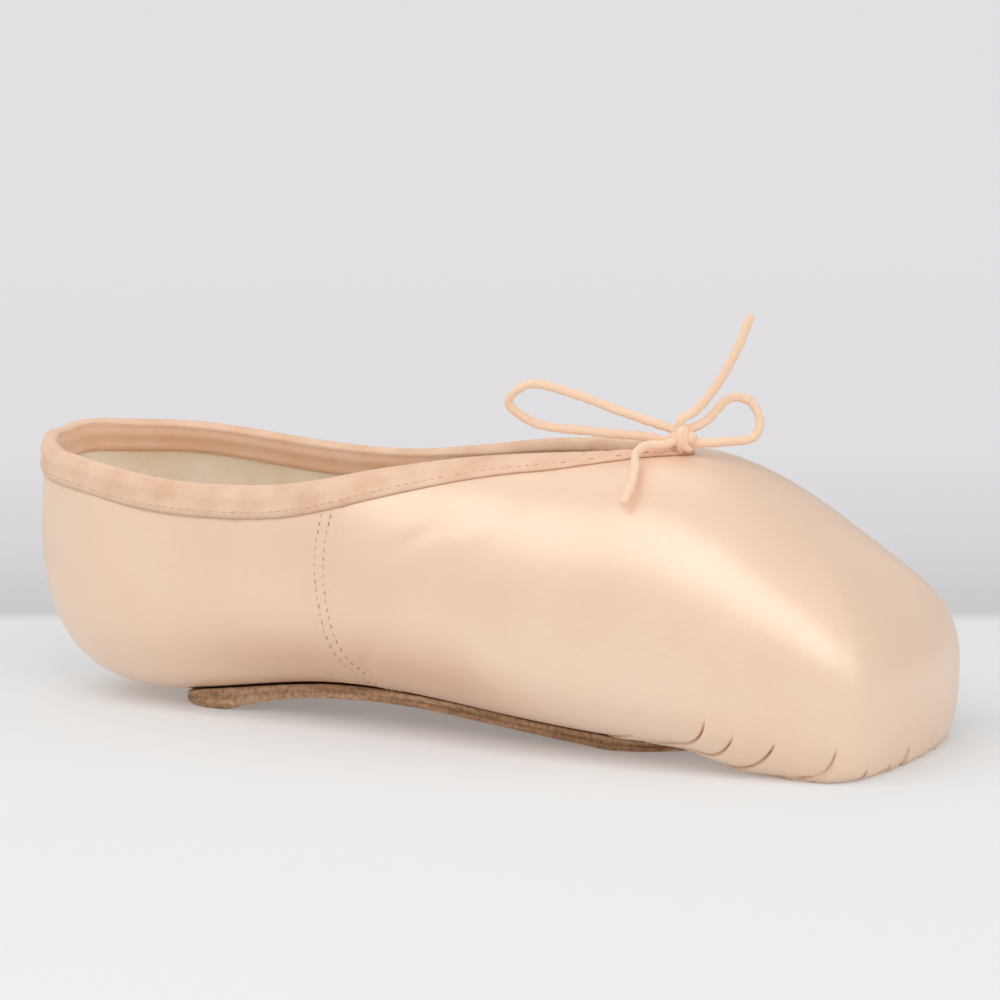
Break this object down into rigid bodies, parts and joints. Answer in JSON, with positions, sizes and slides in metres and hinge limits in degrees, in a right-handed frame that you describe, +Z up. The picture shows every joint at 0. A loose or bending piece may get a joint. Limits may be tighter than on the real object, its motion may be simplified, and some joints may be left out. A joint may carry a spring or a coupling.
{
  "type": "pointe shoe",
  "caption": "Satin pointe shoe with a stiff flat-tipped toe box pleated underneath, a thin leather sole, a folded tape binding and a drawstring bow.",
  "frame": {"origin": "on the floor under the middle of the shoe's length and breadth", "axes": "+X towards the toe, +Y towards the side away from the viewer of the picture, +Z up"},
  "size_m": [0.2324, 0.075, 0.0984],
  "materials": {
    "satin": "peach shoe satin, soft sheen",
    "sole_leather": "tan sole leather, matte with a waxed edge",
    "insole_board": "pale suede-finished board",
    "tape": "matte cotton twill tape",
    "string": "knitted cotton drawstring"
  },
  "bodies": {
    "root": {"upper": "satin", "outsole": "sole_leather", "insole": "insole_board", "binding": "tape", "knot": "string", "loop_near": "string", "loop_far": "string", "end_up": "string", "end_down": "string"}
  },
  "joints": []
}
